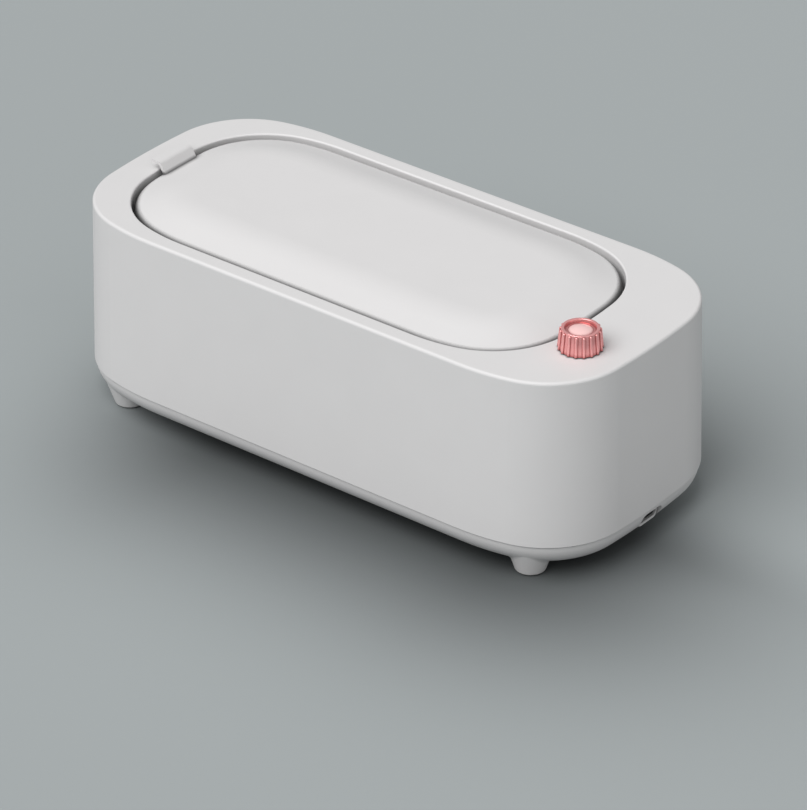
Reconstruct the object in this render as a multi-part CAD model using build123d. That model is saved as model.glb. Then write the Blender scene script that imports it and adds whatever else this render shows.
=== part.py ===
from build123d import *
import os
from collections import namedtuple
from math import cos, radians, sin, tan

# Ultrasonic lens cleaner: a long rounded bath with a lift-off lid, a rotary knob with a push
# button in its middle, and a USB-C inlet. Millimetres, +X to the end that has the knob,
# -Y to the front, +Z up, origin on the floor under the middle of the body.

# ---------------------------------------------------------------- driving dimensions
# Body
body_length = 200.0
body_width = 90.2
body_end_radius = 262.5
body_end_turn = 3.9
body_side_radius = 74.5
body_side_turn = 14.0
top_height = 69.65
parting_height = 13.3
bottom_height = 5.0
body_draft = 1.31
housing_wall = 2.4
top_edge_radius = 1.0
parting_step = 0.5
parting_groove = 0.35
bowl_radius = 7.8
base_wall = 2.2
lip_height = 2.4
lip_wall = 1.2

# Mouth of the bath, in the top face
mouth_length = 164.4
mouth_width = 79.0
mouth_x = -6.6
mouth_end_radius = 170.0
mouth_end_turn = 4.0
mouth_side_radius = 60.0
mouth_side_turn = 14.0
mouth_edge_radius = 0.6
ledge_depth = 8.0
ledge_width = 6.0
ledge_wall = 2.0

# Tank
gasket_thickness = 0.8
gasket_width = 3.6
tank_wall = 0.8
tank_depth = 36.0
tank_draft = 2.0
tank_bottom_radius = 8.0
tank_mouth_radius = 0.6
tank_flange_gap = 0.8
tank_hole_gap = 0.6

# Lid
lid_gap = 1.1
lid_edge_depth = 1.13
lid_wall = 2.2
lid_side_height = 4.6
lid_slope = 15.0
lid_slope_width = 13.4
lid_edge_radius = 2.2
lid_crown_radius = 36.0
tab_width = 15.0
tab_thickness = 1.1
tab_slope = 59.0
tab_rise = 3.7
tab_lip = 3.6
tab_inset = 2.4
tab_root = 1.4
tab_bend_radius = 1.6
liner_thickness = 1.6
liner_rib_height = 3.0
liner_rib_wall = 1.2
liner_rib_gap = 0.5
seal_thickness = 0.75
seal_width = 2.6
seal_inset = 2.3

# Basket
basket_height = 29.0
basket_wall = 1.6
basket_foot_height = 2.0
basket_foot_radius = 2.5
basket_gap = 1.5
basket_bottom_radius = 4.0
grip_width = 24.0
grip_depth = 7.0
floor_slot_length = 20.0
floor_slot_width = 3.0
floor_slot_pitch = 8.0
floor_slot_rows = 15
wall_slot_height = 12.0
wall_slot_pitch = 9.0
wall_slot_count = 11
lens_well_radius = 9.5
lens_well_wall = 1.4
lens_well_height = 8.0
lens_well_spacing = 52.0
lens_hole_radius = 1.2
lens_hole_circle = 5.0

# Feet, and the screws that go up through them
foot_x = 80.0
foot_y = 34.0
foot_radius = 4.75
foot_flare = 18.0
foot_edge_radius = 0.7
foot_blend_radius = 2.2
pad_radius = 3.4
pad_thickness = 1.0
pad_stand = 0.3
screw_radius = 1.4
screw_head_radius = 2.4
screw_head_height = 1.8
screw_seat_height = 4.4
screw_length = 16.0
column_radius = 3.5
column_end_height = 11.0
column_web_wall = 1.6

# Knob, with the button in its middle
knob_x = 83.6
knob_y = -15.3
knob_lift = 0.3
knob_height = 6.1
knob_base_radius = 6.55
knob_top_radius = 5.95
knob_rib_count = 17
knob_rib_radius = 0.5
knob_rib_angle = -44.3
knob_edge_radius = 0.35
knob_dish_radius = 5.2
knob_dish_floor_radius = 4.0
knob_dish_depth = 0.8
knob_cavity_radius = 4.7
knob_cavity_height = 2.0
knob_hub_height = 1.75
button_radius = 3.3
button_drop = 0.35
button_dome = 0.35
button_thickness = 1.1
button_travel = 0.6
stem_radius = 1.6
stem_foot_radius = 2.2
stem_foot_height = 0.4

# Rotary encoder and push switch
encoder_side = 11.6
encoder_height = 6.5
bushing_radius = 3.4
bushing_stand = 0.9
shaft_radius = 2.7
shaft_collar_radius = 4.2
shaft_collar_height = 1.1
encoder_pocket_radius = 3.9
encoder_pocket_height = 2.8
switch_side = 5.0
switch_height = 1.5
plunger_radius = 1.2
plunger_height = 1.1
plunger_stand = 0.6

# Circuit boards
board_thickness = 1.6
driver_board_length = 68.0
driver_board_width = 46.0
driver_board_x = -42.0
control_board_length = 15.0
control_board_width = 33.0
control_board_y = -11.0
usb_board_length = 13.0
usb_board_width = 19.0
usb_board_thickness = 1.0
usb_board_reach = 5.1
post_height = 3.0
post_radius = 2.5
board_screw_radius = 1.0
board_screw_head_radius = 2.0
board_screw_head_height = 1.2
board_screw_shank = 4.5
board_screw_inset = 3.5
transformer_length = 14.0
transformer_width = 13.0
transformer_height = 9.0
choke_radius = 4.6
choke_height = 7.0
capacitor_radius = 3.2
capacitor_height = 9.0
transistor_length = 6.6
transistor_width = 6.1
transistor_height = 2.3
connector_length = 7.5
connector_width = 5.0
connector_height = 5.5
connector_wall = 0.8

# Transducer
transducer_radius = 22.5
transducer_thickness = 2.6
electrode_radius = 19.0
electrode_thickness = 0.3

# USB-C inlet
socket_width = 8.94
socket_height = 3.2
socket_corner_radius = 1.5
socket_length = 7.4
socket_wall = 0.3
socket_z = 9.4
socket_face_x = 98.6
socket_recess = 0.6
socket_gap = 0.12
bezel_width = 0.85
bezel_depth = 2.6
tongue_width = 6.7
tongue_thickness = 0.7
tongue_length = 5.6

# Clearances
running_gap = 0.05
free_gap = 0.3
seat_gap = 0.2

# ---------------------------------------------------------------- heights and places that follow
deck_underside = top_height - housing_wall
ledge_top = top_height - ledge_depth
ledge_underside = ledge_top - ledge_wall
flange_underside = ledge_top + gasket_thickness
flange_top = flange_underside + tank_wall
tank_underside = flange_top - tank_depth
tank_floor = tank_underside + tank_wall
tank_grow = -ledge_width - tank_hole_gap
floor_top = bottom_height + base_wall
base_top = parting_height - parting_groove
lid_edge = top_height - lid_edge_depth
lid_bottom = lid_edge - lid_side_height
lid_top = lid_edge + lid_slope_width * tan(radians(lid_slope))
seal_bottom = flange_top + seat_gap
liner_underside = seal_bottom + seal_thickness
basket_underside = tank_floor + seat_gap + basket_foot_height
basket_floor = basket_underside + basket_wall
basket_top = basket_underside + basket_height
knob_bottom = top_height + knob_lift
knob_top = knob_bottom + knob_height
hub_bottom = knob_bottom + knob_cavity_height
hub_top = hub_bottom + knob_hub_height
control_board_x = mouth_x + mouth_length / 2 + ledge_wall + free_gap + control_board_length / 2
control_board_top = deck_underside - encoder_height
encoder_pocket_top = control_board_top + encoder_pocket_height
shaft_bottom = encoder_pocket_top + free_gap / 2
collar_bottom = shaft_bottom + 1.0
switch_top = control_board_top + switch_height
stem_bottom = switch_top + plunger_stand
driver_board_top = floor_top + post_height + board_thickness
socket_top = socket_z + socket_height / 2
socket_mouth_x = socket_face_x - socket_recess
socket_back_x = socket_mouth_x - socket_length
usb_board_x = socket_back_x + usb_board_reach - usb_board_length / 2
usb_post_y = usb_board_width / 2 - 2.3
usb_post_x = usb_board_x - usb_board_length / 2 + board_screw_inset
feet = [(sx * foot_x, sy * foot_y) for sx in (1, -1) for sy in (1, -1)]

Outline = namedtuple("Outline", "half_length half_width end_radius end_turn side_radius side_turn")
BODY = Outline(
    body_length / 2, body_width / 2, body_end_radius, body_end_turn, body_side_radius, body_side_turn
)
MOUTH = Outline(
    mouth_length / 2, mouth_width / 2, mouth_end_radius, mouth_end_turn, mouth_side_radius, mouth_side_turn
)


# ---------------------------------------------------------------- shared forms
def outline_face(shape, grow=0.0):
    """A closed outline of tangent arcs: bowed ends, corners, and arcs that ease into straight sides."""
    end_angle, side_angle = shape.end_turn, 90 - shape.side_turn
    low, high = sin(radians(end_angle)), sin(radians(side_angle))
    corner_radius = (
        shape.half_width - shape.end_radius * low - shape.side_radius * (1 - high)
    ) / (high - low)
    end_center = Vector(shape.half_length - shape.end_radius, 0)
    end_arm = Vector(1, 0).rotate(Axis.Z, end_angle)
    side_arm = Vector(1, 0).rotate(Axis.Z, side_angle)
    corner_center = end_center + end_arm * (shape.end_radius - corner_radius)
    side_center = corner_center + side_arm * (corner_radius - shape.side_radius)
    side_y = side_center.Y + shape.side_radius + grow
    corner = Curve() + [
        CenterArc(corner_center, corner_radius + grow, end_angle, side_angle - end_angle),
        CenterArc(side_center, shape.side_radius + grow, side_angle, shape.side_turn),
    ]
    right = Curve() + [
        corner,
        mirror(corner, about=Plane.XZ),
        CenterArc(end_center, shape.end_radius + grow, -end_angle, 2 * end_angle),
    ]
    loop = Curve() + [
        right,
        mirror(right, about=Plane.YZ),
        Line((-side_center.X, side_y), (side_center.X, side_y)),
        Line((-side_center.X, -side_y), (side_center.X, -side_y)),
    ]
    return make_face(loop)


def body_growth(height):
    """How far the drafted body wall stands outside the top outline at a height."""
    return (top_height - height) * tan(radians(body_draft))


def body_slab(low, high, grow=0.0):
    """A drafted slice of the body between two heights, moved outwards by grow."""
    face = Pos(0, 0, high) * outline_face(BODY, body_growth(high) + grow)
    return extrude(face, amount=high - low, dir=(0, 0, -1), taper=-body_draft)


def base_slab(low, high, grow=0.0):
    """An upright slice of the base's outline between two heights."""
    base_growth = body_growth(parting_height) - parting_step
    return extrude(Pos(0, 0, low) * outline_face(BODY, base_growth + grow), amount=high - low)


def mouth_slab(low, high, grow=0.0, taper=0.0):
    """A slice of the mouth's outline between two heights, which leans inwards on its way down by taper."""
    face = Pos(mouth_x, 0, high) * outline_face(MOUTH, grow)
    return extrude(face, amount=high - low, dir=(0, 0, -1), taper=taper)


def disc(x, y, low, high, radius):
    """An upright cylinder between two heights."""
    return Pos(x, y, low) * Cylinder(radius, high - low, align=(Align.CENTER, Align.CENTER, Align.MIN))


def block(x, y, low, size_x, size_y, size_z):
    """A box that stands on a height."""
    return Pos(x, y, low) * Box(size_x, size_y, size_z, align=(Align.CENTER, Align.CENTER, Align.MIN))


def turned(x, y, *profile):
    """A solid turned about an upright axis, from radius and height pairs."""
    face = make_face(Polyline(*[(radius, 0, height) for radius, height in profile], close=True))
    return Pos(x, y, 0) * revolve(face, Axis.Z)


def rounded_bar(low_x, high_x, width, height, radius):
    """A bar of rounded section along X, on the socket's axis."""
    section = Plane(origin=(low_x, 0, socket_z), x_dir=(0, 1, 0), z_dir=(1, 0, 0))
    return extrude(section * RectangleRounded(width, height, radius), amount=high_x - low_x)


def edges_at(shape, height):
    """The edges that lie flat at a height."""
    return shape.edges().filter_by_position(Axis.Z, height - 0.001, height + 0.001)


def keep(name, *solids):
    """Writes one node of one or more solids."""
    flat = [solid for shape in solids for solid in shape.solids()]
    shape = flat[0] if len(flat) == 1 else Compound(children=flat)
    shape.label = name
    export_step(shape, f"parts/{name}.step")


# ---------------------------------------------------------------- upper housing
def control_board_posts():
    """The two screw places of the board under the knob."""
    reach = control_board_width / 2 - board_screw_inset
    return [(control_board_x, control_board_y + side * reach) for side in (1, -1)]


def screw_column(x, y):
    """A column for a case screw, with webs that tie it to the walls of its corner."""
    inside = body_slab(column_end_height, deck_underside + housing_wall / 2, -housing_wall / 2)
    web_bottom = base_top + lip_height + free_gap
    web_height = deck_underside - web_bottom
    reach = 3 * column_radius
    side_x, side_y = reach * x / abs(x) / 2, reach * y / abs(y) / 2
    webs = block(x + side_x, y, web_bottom, reach, column_web_wall, web_height)
    webs += block(x, y + side_y, web_bottom, column_web_wall, reach, web_height)
    return disc(x, y, column_end_height, deck_underside + housing_wall / 2, column_radius) + (webs & inside)


def upper_housing():
    shell = body_slab(parting_height, top_height)
    shell -= body_slab(parting_height - 1, deck_underside, -housing_wall)
    shell += mouth_slab(ledge_underside, deck_underside + housing_wall / 2, ledge_wall)
    shell -= mouth_slab(ledge_top, top_height + 1)
    top_face = shell.faces().sort_by(Axis.Z)[-1]
    shell = fillet(top_face.outer_wire().edges(), top_edge_radius)
    top_face = shell.faces().sort_by(Axis.Z)[-1]
    shell = fillet(top_face.inner_wires()[0].edges(), mouth_edge_radius)
    for x, y in feet:
        shell += screw_column(x, y)
        screw_end = screw_seat_height + screw_length
        shell -= disc(x, y, column_end_height - 1, screw_end + 1, screw_radius + running_gap)
    shell -= mouth_slab(ledge_top, deck_underside + housing_wall / 2)
    shell -= mouth_slab(ledge_underside - 1, ledge_top + 1, -ledge_width)
    for x, y in control_board_posts():
        shell += disc(x, y, control_board_top, deck_underside + housing_wall / 2, post_radius)
        pilot = board_screw_radius + running_gap
        shell -= disc(x, y, control_board_top - 1, deck_underside - housing_wall / 2, pilot)
    shell -= disc(knob_x, knob_y, deck_underside - 1, top_height + 1, bushing_radius + free_gap)
    return shell


# ---------------------------------------------------------------- bottom shell
def board_posts():
    """The screw places of the driver board, then of the inlet's board: place, and height of the post."""
    reach_x = driver_board_length / 2 - board_screw_inset
    reach_y = driver_board_width / 2 - board_screw_inset
    driver = [
        (driver_board_x + sx * reach_x, sy * reach_y, floor_top + post_height)
        for sx in (1, -1)
        for sy in (1, -1)
    ]
    inlet = [(usb_post_x, sy * usb_post_y, socket_top) for sy in (1, -1)]
    return driver + inlet


def foot(x, y):
    """A flared foot that runs up into the curve of the base."""
    height = column_end_height - base_wall - pad_stand
    flare = height * tan(radians(foot_flare))
    cone = Cone(foot_radius, foot_radius + flare, height, align=(Align.CENTER, Align.CENTER, Align.MIN))
    return Pos(x, y, pad_stand) * cone


def bottom_shell():
    shell = fillet(edges_at(base_slab(bottom_height, base_top), bottom_height), bowl_radius)
    for x, y in feet:
        joined = shell + foot(x, y)
        shell = fillet(new_edges(shell, foot(x, y), combined=joined), foot_blend_radius)
    soles = [edge for edge in edges_at(shell, pad_stand)]
    shell = fillet(soles, foot_edge_radius)
    inside = base_slab(floor_top, base_top + 1, -base_wall)
    shell -= fillet(edges_at(inside, floor_top), bowl_radius - base_wall)
    lip_outside = body_growth(parting_height) - housing_wall - free_gap
    lip_grow = lip_outside - body_growth(parting_height) + parting_step
    lip = base_slab(base_top - lip_height, base_top, lip_grow + base_wall / 2)
    lip += base_slab(base_top - lip_height, base_top + lip_height, lip_grow)
    shell += lip - base_slab(floor_top, top_height, lip_grow - lip_wall)
    for x, y in feet:
        shell += disc(x, y, floor_top - base_wall / 2, column_end_height, column_radius)
        shell -= disc(x, y, 0, column_end_height + 1, screw_radius + free_gap)
        shell -= disc(x, y, 0, screw_seat_height, screw_head_radius + free_gap)
        shell -= disc(x, y, 0, pad_stand + pad_thickness - pad_stand, pad_radius + running_gap)
    for x, y, height in board_posts():
        shell += disc(x, y, floor_top - base_wall / 2, height, post_radius)
        shell -= disc(x, y, floor_top, height + 1, board_screw_radius + running_gap)
    bezel_width_all = socket_width + 2 * bezel_width
    bezel_height_all = socket_height + 2 * bezel_width
    bezel_radius = socket_corner_radius + bezel_width
    shell += rounded_bar(socket_face_x - bezel_depth, socket_face_x, bezel_width_all, bezel_height_all, bezel_radius)
    shell -= rounded_bar(socket_face_x, body_length, bezel_width_all, bezel_height_all, bezel_radius)
    hole = 2 * socket_gap
    shell -= rounded_bar(
        socket_back_x, socket_face_x, socket_width + hole, socket_height + hole, socket_corner_radius + socket_gap
    )
    return shell


def foot_pads():
    return [disc(x, y, 0, pad_thickness, pad_radius) for x, y in feet]


def case_screws():
    """Round-headed screws that go up through the feet into the columns."""
    screws = []
    for x, y in feet:
        head = disc(x, y, screw_seat_height - screw_head_height, screw_seat_height, screw_head_radius)
        head -= disc(x, y, screw_seat_height - screw_head_height, screw_seat_height - 1, screw_radius * 0.8)
        screws.append(head + disc(x, y, screw_seat_height, screw_seat_height + screw_length, screw_radius))
    return screws


# ---------------------------------------------------------------- tank
def tank():
    """A deep-drawn tray: drafted walls, a rounded bottom, and a flat flange."""
    body = mouth_slab(tank_underside, flange_top, tank_grow, tank_draft)
    body = fillet(edges_at(body, tank_underside), tank_bottom_radius)
    hollow = mouth_slab(tank_floor, flange_top, tank_grow - tank_wall, tank_draft)
    hollow = fillet(edges_at(hollow, tank_floor), tank_bottom_radius - tank_wall)
    body += mouth_slab(flange_underside, flange_top, -tank_flange_gap)
    body -= hollow
    flange = body.faces().sort_by(Axis.Z)[-1]
    return fillet(flange.inner_wires()[0].edges(), tank_mouth_radius)


def tank_gasket():
    ring = mouth_slab(ledge_top, flange_underside, -tank_flange_gap)
    return ring - mouth_slab(ledge_top, flange_underside, -tank_flange_gap - gasket_width)


def transducer():
    return disc(mouth_x, 0, tank_underside - transducer_thickness, tank_underside, transducer_radius)


def transducer_electrode():
    top = tank_underside - transducer_thickness
    return disc(mouth_x, 0, top - electrode_thickness, top, electrode_radius)


# ---------------------------------------------------------------- lid
def lid_form(low, edge, top, grow):
    """An upright side up to an edge, then a gentle slope up to a flat top."""
    slope = extrude(
        Pos(mouth_x, 0, edge) * outline_face(MOUTH, grow), amount=top - edge, taper=90 - lid_slope
    )
    return mouth_slab(low, edge, grow) + slope


def lift_tab():
    """A bent tab at the end of the lid: a steep ramp, then a lip that reaches out over the rim."""
    lid_end = mouth_x - mouth_length / 2 + lid_gap
    foot_x_place = lid_end + tab_inset
    foot_z = lid_edge + tab_inset * tan(radians(lid_slope))
    ramp = Vector(-cos(radians(tab_slope)), 0, sin(radians(tab_slope)))
    start = Vector(foot_x_place, 0, foot_z)
    bend = start + ramp * (tab_rise / ramp.Z)
    path = FilletPolyline(
        start - ramp * tab_root, bend, bend - Vector(tab_lip, 0, 0), radius=tab_bend_radius
    )
    under = offset(path, amount=tab_thickness, side=Side.RIGHT)
    tab = extrude(make_face(under), amount=tab_width / 2, both=True)
    return tab


def lid_cover():
    cover = lid_form(lid_bottom, lid_edge, lid_top, -lid_gap)
    cover = fillet(edges_at(cover, lid_top), lid_crown_radius)
    cover = fillet(edges_at(cover, lid_edge), lid_edge_radius)
    slope = radians(lid_slope)
    drop = lid_wall / cos(slope) - lid_wall * tan(slope)
    cover += lift_tab()
    cover -= lid_form(lid_bottom - 1, lid_edge - drop, lid_top - lid_wall, -lid_gap - lid_wall)
    return cover


def lid_liner():
    """A flat plate that closes the lid, with a rib under it that drops inside the tank's mouth."""
    plate = mouth_slab(
        liner_underside, liner_underside + liner_thickness, -lid_gap - lid_wall - running_gap
    )
    rib_grow = tank_grow - tank_wall - liner_rib_gap
    rib_bottom = liner_underside - liner_rib_height
    rib = mouth_slab(rib_bottom, liner_underside + liner_thickness / 2, rib_grow, tank_draft)
    rib -= mouth_slab(rib_bottom - 1, liner_underside, rib_grow - liner_rib_wall)
    return plate + rib


def lid_seal():
    outside = -lid_gap - seal_inset
    ring = mouth_slab(seal_bottom, liner_underside, outside)
    return ring - mouth_slab(seal_bottom, liner_underside, outside - seal_width)


# ---------------------------------------------------------------- basket
def slot(x, y, low, high, width, length):
    """A round-ended slot through a floor, its length along Y."""
    return extrude(Pos(x, y, low) * Rot(0, 0, 90) * SlotOverall(length, width), amount=high - low)


def lens_wells():
    return [(mouth_x + side * lens_well_spacing / 2, 0) for side in (1, -1)]


def lens_basket():
    """A drafted tray with slots in its floor and sides, grips in its ends, and two wells for lenses."""
    depth = flange_top - basket_top
    grow = tank_grow - tank_wall - basket_gap - depth * tan(radians(tank_draft))
    tray = mouth_slab(basket_underside, basket_top, grow, tank_draft)
    tray = fillet(edges_at(tray, basket_underside), basket_bottom_radius)
    hollow = mouth_slab(basket_floor, basket_top, grow - basket_wall, tank_draft)
    tray -= fillet(edges_at(hollow, basket_floor), basket_bottom_radius - basket_wall)
    for x, y in lens_wells():
        well = disc(x, y, basket_floor - basket_wall / 2, basket_floor + lens_well_height, lens_well_radius + lens_well_wall)
        tray += well - disc(x, y, basket_floor - basket_wall / 2, basket_top, lens_well_radius)
    cuts = []
    well_reach = lens_well_radius + lens_well_wall + floor_slot_width / 2
    for column in range(floor_slot_rows):
        x = mouth_x + (column - (floor_slot_rows - 1) / 2) * floor_slot_pitch
        if all(abs(x - well_x) > well_reach for well_x, _ in lens_wells()):
            for side in (1, -1):
                y = side * (floor_slot_length / 2 + floor_slot_width / 2)
                cuts.append(slot(x, y, basket_underside - 1, basket_floor + 1, floor_slot_width, floor_slot_length))
    for x, y in lens_wells():
        holes = PolarLocations(lens_hole_circle, 6)
        for place in [Location((0, 0, 0))] + list(holes):
            cuts.append(disc(x + place.position.X, y + place.position.Y, basket_underside - 1, basket_floor + 1, lens_hole_radius))
    for column in range(wall_slot_count):
        x = mouth_x + (column - (wall_slot_count - 1) / 2) * wall_slot_pitch
        low = (basket_floor + basket_top - wall_slot_height) / 2
        side_plane = Plane(origin=(x, -mouth_width, low + wall_slot_height / 2), x_dir=(0, 0, 1), z_dir=(0, 1, 0))
        cuts.append(extrude(side_plane * SlotOverall(wall_slot_height, floor_slot_width), amount=2 * mouth_width))
    end_plane = Plane(origin=(-body_length, 0, basket_top), x_dir=(0, 1, 0), z_dir=(1, 0, 0))
    grip = RectangleRounded(grip_width, 2 * grip_depth, grip_depth * 0.6)
    cuts.append(extrude(end_plane * grip, amount=2 * body_length))
    tray -= cuts
    inner_x = mouth_length / 2 + grow - basket_bottom_radius * 2.5
    inner_y = mouth_width / 2 + grow - basket_bottom_radius * 2
    for sx in (1, -1):
        for sy in (1, -1):
            tray += disc(
                mouth_x + sx * inner_x * 0.8, sy * inner_y * 0.85,
                basket_underside - basket_foot_height, basket_underside + basket_wall / 2, basket_foot_radius,
            )
    return tray


# ---------------------------------------------------------------- knob and button
def knob():
    """A tapered ribbed ring with a dish in its top, hollow below to clear the bushing."""
    body = turned(
        0, 0,
        (0, knob_bottom), (knob_base_radius, knob_bottom), (knob_top_radius, knob_top),
        (knob_dish_radius, knob_top), (knob_dish_floor_radius, knob_top - knob_dish_depth),
        (0, knob_top - knob_dish_depth),
    )
    body = fillet(edges_at(body, knob_top).sort_by(SortBy.RADIUS)[-1], knob_edge_radius)
    lean = (knob_base_radius - knob_top_radius) / knob_height
    rib_base = knob_base_radius - running_gap
    rib_top = rib_base - lean * (knob_height - knob_edge_radius)
    rib_line = Line((rib_base, 0, knob_bottom), (rib_top, 0, knob_top - knob_edge_radius))
    rib_section = Plane(origin=rib_line @ 0, z_dir=rib_line % 0) * Circle(knob_rib_radius)
    rib = extrude(rib_section, amount=rib_line.length)
    ribs = [
        Rot(0, 0, knob_rib_angle + number * 360 / knob_rib_count) * rib for number in range(knob_rib_count)
    ]
    body += ribs
    body = split(body, Plane.XY.offset(knob_bottom), keep=Keep.TOP)
    body -= disc(0, 0, knob_bottom - 1, hub_bottom, knob_cavity_radius)
    body -= disc(0, 0, hub_bottom - 1, hub_top, shaft_radius)
    body -= disc(0, 0, hub_top, knob_top, button_radius + running_gap)
    return Pos(knob_x, knob_y, 0) * body


def knob_button():
    """A slightly domed disc on a stem that runs down through the hollow shaft."""
    rim = knob_top - button_drop
    under = rim - button_thickness
    sphere_radius = (button_radius**2 + button_dome**2) / (2 * button_dome)
    sphere_center = Vector(0, 0, rim + button_dome - sphere_radius)
    to_rim = Vector(button_radius, 0, rim) - sphere_center
    half_way = (to_rim + Vector(0, 0, sphere_radius)).normalized() * sphere_radius
    crown = ThreePointArc((button_radius, 0, rim), sphere_center + half_way, (0, 0, rim + button_dome))
    sides = Polyline(
        (0, 0, rim + button_dome), (0, 0, stem_bottom), (stem_radius, 0, stem_bottom),
        (stem_radius, 0, stem_bottom + 0.2), (stem_foot_radius, 0, stem_bottom + 0.2),
        (stem_foot_radius, 0, stem_bottom + 0.2 + stem_foot_height),
        (stem_radius, 0, stem_bottom + 0.2 + stem_foot_height),
        (stem_radius, 0, under), (button_radius, 0, under), (button_radius, 0, rim),
    )
    return Pos(knob_x, knob_y, 0) * revolve(make_face(Curve() + [crown, sides]), Axis.Z)


def encoder_shaft():
    shaft = disc(knob_x, knob_y, shaft_bottom, hub_top, shaft_radius)
    shaft += disc(knob_x, knob_y, collar_bottom, collar_bottom + shaft_collar_height, shaft_collar_radius)
    return shaft - disc(knob_x, knob_y, shaft_bottom - 1, hub_top + 1, stem_radius + running_gap)


def encoder_body():
    body = block(knob_x, knob_y, control_board_top, encoder_side, encoder_side, encoder_height)
    body += disc(knob_x, knob_y, deck_underside, top_height + bushing_stand, bushing_radius)
    body -= disc(knob_x, knob_y, control_board_top, encoder_pocket_top, encoder_pocket_radius)
    collar_top = collar_bottom + shaft_collar_height
    body -= disc(
        knob_x, knob_y, collar_bottom - running_gap, collar_top + running_gap, shaft_collar_radius + running_gap
    )
    return body - disc(knob_x, knob_y, control_board_top, knob_top, shaft_radius + running_gap)


def push_switch():
    case = block(knob_x, knob_y, control_board_top, switch_side, switch_side, switch_height)
    bottom = stem_bottom - plunger_height - button_travel - running_gap
    return case - disc(knob_x, knob_y, bottom, switch_top, plunger_radius + running_gap)


def switch_plunger():
    return disc(knob_x, knob_y, stem_bottom - plunger_height, stem_bottom, plunger_radius)


# ---------------------------------------------------------------- boards
def board_screw(x, y, seat, up=1):
    """A small screw whose head sits on a board; up is 1 where the head is on top."""
    head = seat if up > 0 else seat - board_screw_head_height
    shank = seat - board_screw_shank if up > 0 else seat
    screw = disc(x, y, head, head + board_screw_head_height, board_screw_head_radius)
    return screw + disc(x, y, shank, shank + board_screw_shank, board_screw_radius)


def board_screws():
    driver = [board_screw(x, y, height + board_thickness) for x, y, height in board_posts()[:4]]
    inlet = [board_screw(x, y, height + usb_board_thickness) for x, y, height in board_posts()[4:]]
    control_seat = control_board_top - board_thickness
    control = [board_screw(x, y, control_seat, up=-1) for x, y in control_board_posts()]
    return driver + inlet + control


def drilled_board(low, thickness, length, width, x, y, holes):
    board = block(x, y, low, length, width, thickness)
    for hole_x, hole_y in holes:
        board -= disc(hole_x, hole_y, low - 1, low + thickness + 1, board_screw_radius + seat_gap)
    return board


def driver_board():
    holes = [(x, y) for x, y, _ in board_posts()[:4]]
    low = driver_board_top - board_thickness
    return drilled_board(low, board_thickness, driver_board_length, driver_board_width, driver_board_x, 0, holes)


def usb_board():
    holes = [(x, y) for x, y, _ in board_posts()[4:]]
    return drilled_board(socket_top, usb_board_thickness, usb_board_length, usb_board_width, usb_board_x, 0, holes)


def control_board():
    low = control_board_top - board_thickness
    return drilled_board(
        low, board_thickness, control_board_length, control_board_width,
        control_board_x, control_board_y, control_board_posts(),
    )


def transformer_places():
    return driver_board_x + driver_board_length / 2 - transformer_length, -driver_board_width / 5


def transformer_core():
    """A closed ferrite frame round the winding."""
    x, y = transformer_places()
    frame = block(x, y, driver_board_top + 1, transformer_length, transformer_width * 0.55, transformer_height - 1)
    window = transformer_length / 5
    for side in (1, -1):
        frame -= block(
            x + side * window, y, driver_board_top + 3, transformer_length / 5, transformer_width, transformer_height - 5
        )
    return frame


def transformer_winding():
    """The winding on its bobbin, which stands on the board."""
    x, y = transformer_places()
    low = driver_board_top
    limb = transformer_length / 5
    core_width = transformer_width * 0.55 + 2 * seat_gap
    coil = block(x, y, low, 2.6 * limb, transformer_width, transformer_height - 2.2)
    coil -= block(x, y, low + 0.8, transformer_length, core_width, 2.4)
    coil -= block(x, y, low + 0.8, limb + 2 * seat_gap, core_width, transformer_height)
    return coil


def choke():
    """A drum choke: two flanges and a winding between them."""
    x, y = driver_board_x, driver_board_width / 4
    low, high = driver_board_top, driver_board_top + choke_height
    flange = choke_height / 6
    return turned(
        x, y,
        (0, low), (choke_radius, low), (choke_radius, low + flange), (choke_radius * 0.86, low + flange),
        (choke_radius * 0.86, high - flange), (choke_radius, high - flange), (choke_radius, high), (0, high),
    )


def capacitors():
    """Electrolytic cans, each with the rolled groove near its foot."""
    cans = []
    x = driver_board_x - driver_board_length / 2 + 4 * capacitor_radius
    for y in (-1.2 * capacitor_radius, 1.2 * capacitor_radius):
        low, high, groove = driver_board_top, driver_board_top + capacitor_height, capacitor_radius * 0.9
        cans.append(turned(
            x, y,
            (0, low), (capacitor_radius, low), (capacitor_radius, low + 1), (groove, low + 1.3),
            (groove, low + 1.6), (capacitor_radius, low + 1.9), (capacitor_radius, high - 0.3),
            (capacitor_radius - 0.3, high), (0, high),
        ))
    return cans


def transistors():
    y = -driver_board_width / 4
    places = [driver_board_x - side * transistor_length for side in (0.2, 1.6)]
    return [
        block(x, y, driver_board_top, transistor_length, transistor_width, transistor_height) for x in places
    ]


def connector(x, y, low):
    """A plug housing, open at the top."""
    shell = block(x, y, low, connector_length, connector_width, connector_height)
    wall = 2 * connector_wall
    return shell - block(
        x, y, low + connector_wall, connector_length - wall, connector_width - wall, connector_height
    )


def connectors():
    """Two on the driver board, one under the board of the knob."""
    y = driver_board_width / 2 - connector_width / 2 - 1
    x = driver_board_x + driver_board_length / 2 - 2 * connector_length
    return [connector(x, y, driver_board_top), connector(x - 1.5 * connector_length, y, driver_board_top)]


# ---------------------------------------------------------------- inlet
def usb_socket():
    """A drawn metal sleeve, closed at the back."""
    sleeve = rounded_bar(socket_back_x, socket_mouth_x, socket_width, socket_height, socket_corner_radius)
    wall = 2 * socket_wall
    return sleeve - rounded_bar(
        socket_back_x + socket_wall, socket_mouth_x, socket_width - wall, socket_height - wall,
        socket_corner_radius - socket_wall,
    )


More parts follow.
